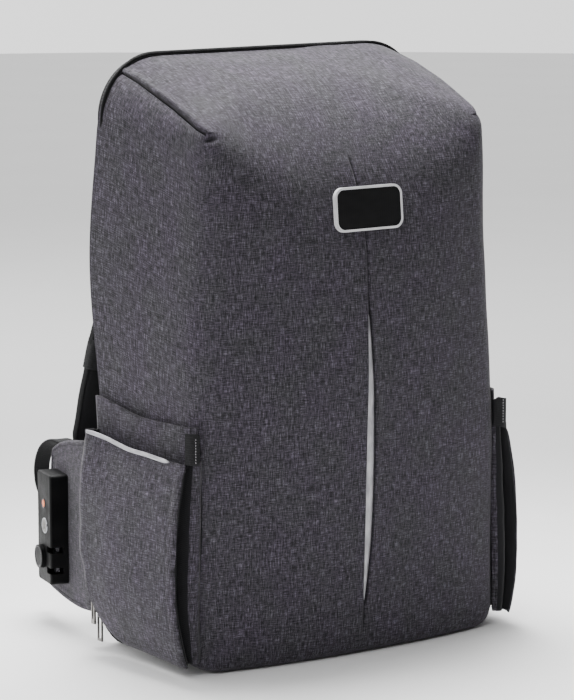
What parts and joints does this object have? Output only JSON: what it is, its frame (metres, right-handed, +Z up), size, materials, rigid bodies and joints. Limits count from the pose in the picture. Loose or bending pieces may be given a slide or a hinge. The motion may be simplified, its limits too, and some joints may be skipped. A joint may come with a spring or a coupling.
{
  "type": "solar backpack",
  "caption": "Clamshell backpack in grey melange fabric with a small framed solar module, side pockets, a reflective centre slit, shoulder straps and a built-in lock for the zip pulls.",
  "frame": {"origin": "centre of the flat base that the backpack stands on", "axes": "+Z up, -Y towards the front that carries the solar module, +Y towards the wearer's back, +X to the right seen from the front"},
  "size_m": [0.3484, 0.2857, 0.465],
  "materials": {
    "melange_fabric": "two-tone woven polyester",
    "black_fabric": "plain woven, matt",
    "lining": "smooth woven lining",
    "air_mesh": "open spacer mesh",
    "webbing": "ribbed webbing",
    "reflective": "satin reflective",
    "zip_teeth": "moulded coil",
    "black_plastic": "fine-grained",
    "lock_plastic": "satin moulded",
    "light_metal": "polished",
    "steel": "bright zinc",
    "panel_frame": "satin",
    "panel_window": "satin black cover",
    "solar_cell": "dark cell",
    "lead_jacket": "smooth jacket",
    "bank_case": "fine-grained",
    "cell_wrap": "shrink wrap",
    "circuit_board": "solder mask",
    "board_sheet": "plain sheet",
    "amber_lens": "clear tinted"
  },
  "bodies": {
    "front_body": {"front_shell": "melange_fabric", "base_board": "board_sheet", "front_reflector": "reflective", "panel_frame": "panel_frame", "panel_window": "panel_window", "solar_cell": "solar_cell", "panel_tray": "black_plastic", "panel_lead": "lead_jacket", "zip_tape_front": "black_fabric", "zip_teeth_front": "zip_teeth", "hinge_gusset": "black_fabric", "left_pocket_inner": "melange_fabric", "left_pocket_outer": "melange_fabric", "left_pocket_gusset": "black_fabric", "right_pocket_inner": "melange_fabric", "right_pocket_outer": "melange_fabric", "right_pocket_gusset": "black_fabric", "organiser_pocket": "lining", "power_bank_pocket": "lining", "dock_plug": "black_plastic"},
    "back_panel": {"zip_teeth_back": "zip_teeth", "zip_tape_back": "black_fabric", "back_board": "board_sheet", "back_cover": "black_fabric", "back_pad_upper_left": "air_mesh", "back_pad_upper_right": "air_mesh", "back_pad_lower_left": "air_mesh", "back_pad_lower_right": "air_mesh", "laptop_sleeve": "lining", "trolley_sleeve": "black_fabric", "handle_patch": "webbing", "left_shoulder_strap": "air_mesh", "right_shoulder_strap": "air_mesh", "left_strap_adjuster": "black_plastic", "right_strap_adjuster": "black_plastic", "left_strap_webbing": "webbing", "right_strap_webbing": "webbing", "left_wing": "melange_fabric", "right_wing": "melange_fabric", "lock_case": "lock_plastic", "lock_backing_plate": "steel", "lock_screws": "steel", "dial_axle": "steel", "indicator_lens": "amber_lens", "button_spring": "steel"},
    "power_bank": {"bank_case_front": "bank_case", "bank_case_back": "bank_case", "battery_cell": "cell_wrap", "charge_board": "circuit_board"},
    "grab_handle": {"grab_handle": "webbing"},
    "dial_1": {"lock_dial_1": "black_plastic"},
    "dial_2": {"lock_dial_2": "black_plastic"},
    "dial_3": {"lock_dial_3": "black_plastic"},
    "release_button": {"release_button": "lock_plastic"},
    "latch": {"lock_latch": "steel"},
    "key_cylinder": {"key_cylinder": "light_metal"},
    "slider_upper": {"zip_slider_upper": "light_metal"},
    "slider_lower": {"zip_slider_lower": "light_metal"},
    "pull_bar": {"zip_pull_bar": "light_metal"},
    "pull_loop": {"zip_pull_loop": "light_metal"}
  },
  "joints": [
    {"name": "back_panel_hinge", "type": "hinge", "parent": "front_body", "child": "back_panel", "pos_m": [0.147, 0.05675, 0.22], "axis": [0, 0, -1], "range_deg": [0, 85], "deforming": ["hinge_gusset"]},
    {"name": "power_bank_slide", "type": "slide", "parent": "front_body", "child": "power_bank", "axis": [0, 0, 1], "range_m": [0, 0.13]},
    {"name": "grab_handle_swing", "type": "hinge", "parent": "back_panel", "child": "grab_handle", "pos_m": [0, 0.086, 0.434], "axis": [1, 0, 0], "range_deg": [0, 170]},
    {"name": "dial_1_turn", "type": "hinge", "parent": "back_panel", "child": "dial_1", "pos_m": [-0.13996, 0.16041, 0.099], "axis": [0, 0, 1], "continuous": true},
    {"name": "dial_2_turn", "type": "hinge", "parent": "back_panel", "child": "dial_2", "pos_m": [-0.13996, 0.16041, 0.106], "axis": [0, 0, 1], "continuous": true},
    {"name": "dial_3_turn", "type": "hinge", "parent": "back_panel", "child": "dial_3", "pos_m": [-0.13996, 0.16041, 0.113], "axis": [0, 0, 1], "continuous": true},
    {"name": "release_button_press", "type": "slide", "parent": "back_panel", "child": "release_button", "axis": [0.9781, -0.2079, 0], "range_m": [0, 0.0025], "stiffness_N_per_m": 400, "springref_m": -0.001, "deforming": ["button_spring"]},
    {"name": "latch_slide", "type": "slide", "parent": "back_panel", "child": "latch", "axis": [0.2079, 0.9781, 0], "range_m": [0, 0.0044]},
    {"name": "key_turn", "type": "hinge", "parent": "back_panel", "child": "key_cylinder", "pos_m": [-0.15074, 0.14818, 0.081], "axis": [-0.9781, 0.2079, 0], "range_deg": [0, 90]},
    {"name": "slider_upper_slide", "type": "slide", "parent": "front_body", "child": "slider_upper", "axis": [0, 0, 1], "range_m": [0, 0.33]},
    {"name": "slider_lower_slide", "type": "slide", "parent": "front_body", "child": "slider_lower", "axis": [0, 0, 1], "range_m": [-0.005, 0.014]},
    {"name": "pull_bar_swing", "type": "hinge", "parent": "slider_upper", "child": "pull_bar", "pos_m": [-0.1596, 0.0595, 0.063], "axis": [0, 1, 0], "range_deg": [0, 150]},
    {"name": "pull_loop_swing", "type": "hinge", "parent": "slider_lower", "child": "pull_loop", "pos_m": [-0.1574, 0.0534, 0.037], "axis": [0, 1, 0], "range_deg": [0, 150]}
  ],
  "couplings": [
    {"joint": "latch_slide", "follows": "release_button_press", "ratio": 1.76}
  ]
}
